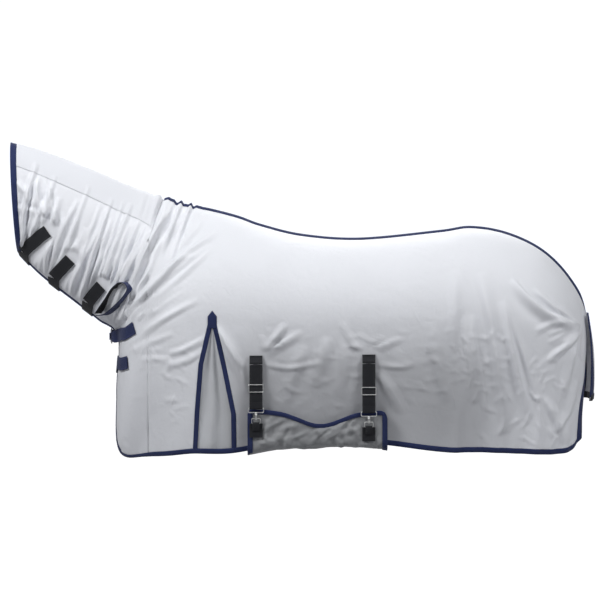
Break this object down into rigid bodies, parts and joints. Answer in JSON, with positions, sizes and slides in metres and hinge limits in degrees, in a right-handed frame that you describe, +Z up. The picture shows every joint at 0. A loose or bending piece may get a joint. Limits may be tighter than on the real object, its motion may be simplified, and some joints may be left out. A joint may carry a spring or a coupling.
{
  "type": "fly sheet",
  "caption": "Full-length horse fly sheet with neck cover, shoulder gussets, belly flap held by clipped straps, and tail flap, in its worn shape.",
  "frame": {"origin": "inside of the cloth on the top line at the middle of the back", "axes": "+X to the tail, -X to the head, -Y to the near (left) side, +Z up"},
  "size_m": [2.3017, 0.697, 1.2411],
  "materials": {
    "cloth": "matte",
    "binding": "matte",
    "webbing": "matte",
    "steel": "satin"
  },
  "bodies": {
    "sheet": {"crest_strip": "cloth", "poll_edge_binding": "binding", "neck_cover_near": "cloth", "throat_binding_near": "binding", "neck_cover_off": "cloth", "throat_binding_off": "binding", "spine_binding": "binding", "chest_panel_near": "cloth", "side_panel_near": "cloth", "gusset_insert_near": "cloth", "gusset_binding_near": "binding", "chest_edge_binding_near": "binding", "hem_binding_front_near": "binding", "hem_binding_gusset_near": "binding", "hem_binding_rear_near": "binding", "chest_panel_off": "cloth", "side_panel_off": "cloth", "gusset_insert_off": "cloth", "gusset_binding_off": "binding", "chest_edge_binding_off": "binding", "hem_binding_front_off": "binding", "hem_binding_gusset_off": "binding", "hem_binding_rear_off": "binding", "neck_loop_patch_1": "webbing", "neck_strap_base_1": "webbing", "neck_loop_patch_2": "webbing", "neck_strap_base_2": "webbing", "neck_loop_patch_3": "webbing", "neck_strap_base_3": "webbing", "belly_strap_anchor_front": "webbing", "belly_strap_anchor_rear": "webbing", "chest_strap_off": "binding", "chest_tab_upper": "binding", "chest_tab_lower_base": "binding"},
    "neck_strap_1": {"neck_strap_1": "webbing"},
    "neck_strap_2": {"neck_strap_2": "webbing"},
    "neck_strap_3": {"neck_strap_3": "webbing"},
    "loop_strap": {"loop_strap": "binding"},
    "chest_hook": {"chest_hook": "steel"},
    "chest_hook_gate": {"chest_hook_gate": "steel"},
    "chest_ring": {"chest_ring": "steel"},
    "chest_tab_lower": {"chest_tab_lower": "binding"},
    "belly_strap_front": {"belly_strap_front": "webbing"},
    "belly_slider_front": {"belly_slider_front": "steel"},
    "belly_hook_front": {"belly_hook_front": "steel"},
    "belly_hook_gate_front": {"belly_hook_gate_front": "steel"},
    "belly_ring_front": {"belly_ring_front": "steel"},
    "belly_strap_rear": {"belly_strap_rear": "webbing"},
    "belly_slider_rear": {"belly_slider_rear": "steel"},
    "belly_hook_rear": {"belly_hook_rear": "steel"},
    "belly_hook_gate_rear": {"belly_hook_gate_rear": "steel"},
    "belly_ring_rear": {"belly_ring_rear": "steel"},
    "belly_flap": {"belly_flap": "cloth", "belly_flap_rim": "binding", "belly_flap_patch_front": "webbing", "belly_flap_patch_rear": "webbing"},
    "tail_flap": {"tail_flap": "cloth", "tail_flap_binding_near": "binding", "tail_flap_binding_off": "binding", "tail_flap_hem": "webbing"}
  },
  "joints": [
    {"name": "neck_strap_1_peel", "type": "hinge", "parent": "sheet", "child": "neck_strap_1", "pos_m": [-1.0859, -0.0643, -0.0595], "axis": [0.6435, 0.062, -0.763], "range_deg": [0, 100]},
    {"name": "neck_strap_2_peel", "type": "hinge", "parent": "sheet", "child": "neck_strap_2", "pos_m": [-0.9662, -0.0701, -0.1597], "axis": [0.7297, 0.0611, -0.681], "range_deg": [0, 100]},
    {"name": "neck_strap_3_peel", "type": "hinge", "parent": "sheet", "child": "neck_strap_3", "pos_m": [-0.8315, -0.0811, -0.2574], "axis": [0.7387, -0.0314, -0.6733], "range_deg": [0, 100]},
    {"name": "loop_strap_swing", "type": "hinge", "parent": "sheet", "child": "loop_strap", "pos_m": [-0.776, -0.107, -0.303], "axis": [0, 0, -1], "range_deg": [0, 35]},
    {"name": "chest_hook_swing", "type": "hinge", "parent": "sheet", "child": "chest_hook", "pos_m": [-0.746, 0.034, -0.392], "axis": [0, 0, -1], "range_deg": [0, 90]},
    {"name": "chest_gate_press", "type": "hinge", "parent": "chest_hook", "child": "chest_hook_gate", "pos_m": [-0.7487, 0.0108, -0.392], "axis": [0, 0, -1], "range_deg": [0, 25], "stiffness_Nm_per_rad": 0.01, "springref_deg": -22.92},
    {"name": "chest_ring_swing", "type": "hinge", "parent": "sheet", "child": "chest_ring", "pos_m": [-0.746, -0.0245, -0.392], "axis": [0, 0, 1], "range_deg": [-6, 6]},
    {"name": "chest_tab_lower_peel", "type": "hinge", "parent": "sheet", "child": "chest_tab_lower", "pos_m": [-0.7148, -0.0851, -0.4892], "axis": [-0.0712, -0.0523, -0.9961], "range_deg": [0, 90]},
    {"name": "belly_strap_front_swing", "type": "hinge", "parent": "sheet", "child": "belly_strap_front", "pos_m": [-0.168, -0.3456, -0.491], "axis": [-1, 0, 0], "range_deg": [0, 90]},
    {"name": "belly_slider_front_slide", "type": "slide", "parent": "belly_strap_front", "child": "belly_slider_front", "axis": [0, 0, 1], "range_m": [-0.03, 0.05]},
    {"name": "belly_hook_front_swing", "type": "hinge", "parent": "belly_strap_front", "child": "belly_hook_front", "pos_m": [-0.168, -0.3505, -0.655], "axis": [-1, 0, 0], "range_deg": [0, 90]},
    {"name": "belly_gate_front_press", "type": "hinge", "parent": "belly_hook_front", "child": "belly_hook_gate_front", "pos_m": [-0.168, -0.3532, -0.6782], "axis": [-1, 0, 0], "range_deg": [0, 25], "stiffness_Nm_per_rad": 0.01, "springref_deg": -22.92},
    {"name": "belly_ring_front_swing", "type": "hinge", "parent": "belly_flap", "child": "belly_ring_front", "pos_m": [-0.168, -0.3505, -0.7135], "axis": [1, 0, 0], "range_deg": [-6, 6]},
    {"name": "belly_strap_rear_swing", "type": "hinge", "parent": "sheet", "child": "belly_strap_rear", "pos_m": [0.263, -0.3466, -0.487], "axis": [-1, 0, 0], "range_deg": [0, 90]},
    {"name": "belly_slider_rear_slide", "type": "slide", "parent": "belly_strap_rear", "child": "belly_slider_rear", "axis": [0, 0, 1], "range_m": [-0.03, 0.05]},
    {"name": "belly_hook_rear_swing", "type": "hinge", "parent": "belly_strap_rear", "child": "belly_hook_rear", "pos_m": [0.263, -0.3515, -0.669], "axis": [-1, 0, 0], "range_deg": [0, 90]},
    {"name": "belly_gate_rear_press", "type": "hinge", "parent": "belly_hook_rear", "child": "belly_hook_gate_rear", "pos_m": [0.263, -0.3542, -0.6922], "axis": [-1, 0, 0], "range_deg": [0, 25], "stiffness_Nm_per_rad": 0.01, "springref_deg": -22.92},
    {"name": "belly_ring_rear_swing", "type": "hinge", "parent": "belly_flap", "child": "belly_ring_rear", "pos_m": [0.263, -0.3515, -0.7275], "axis": [1, 0, 0], "range_deg": [-6, 6]},
    {"name": "belly_flap_open", "type": "hinge", "parent": "sheet", "child": "belly_flap", "pos_m": [0.07, 0.33, -0.797], "axis": [1, 0, 0], "range_deg": [0, 90]},
    {"name": "tail_flap_lift", "type": "hinge", "parent": "sheet", "child": "tail_flap", "pos_m": [1.134, 0, -0.298], "axis": [0, -1, 0], "range_deg": [0, 80]}
  ]
}
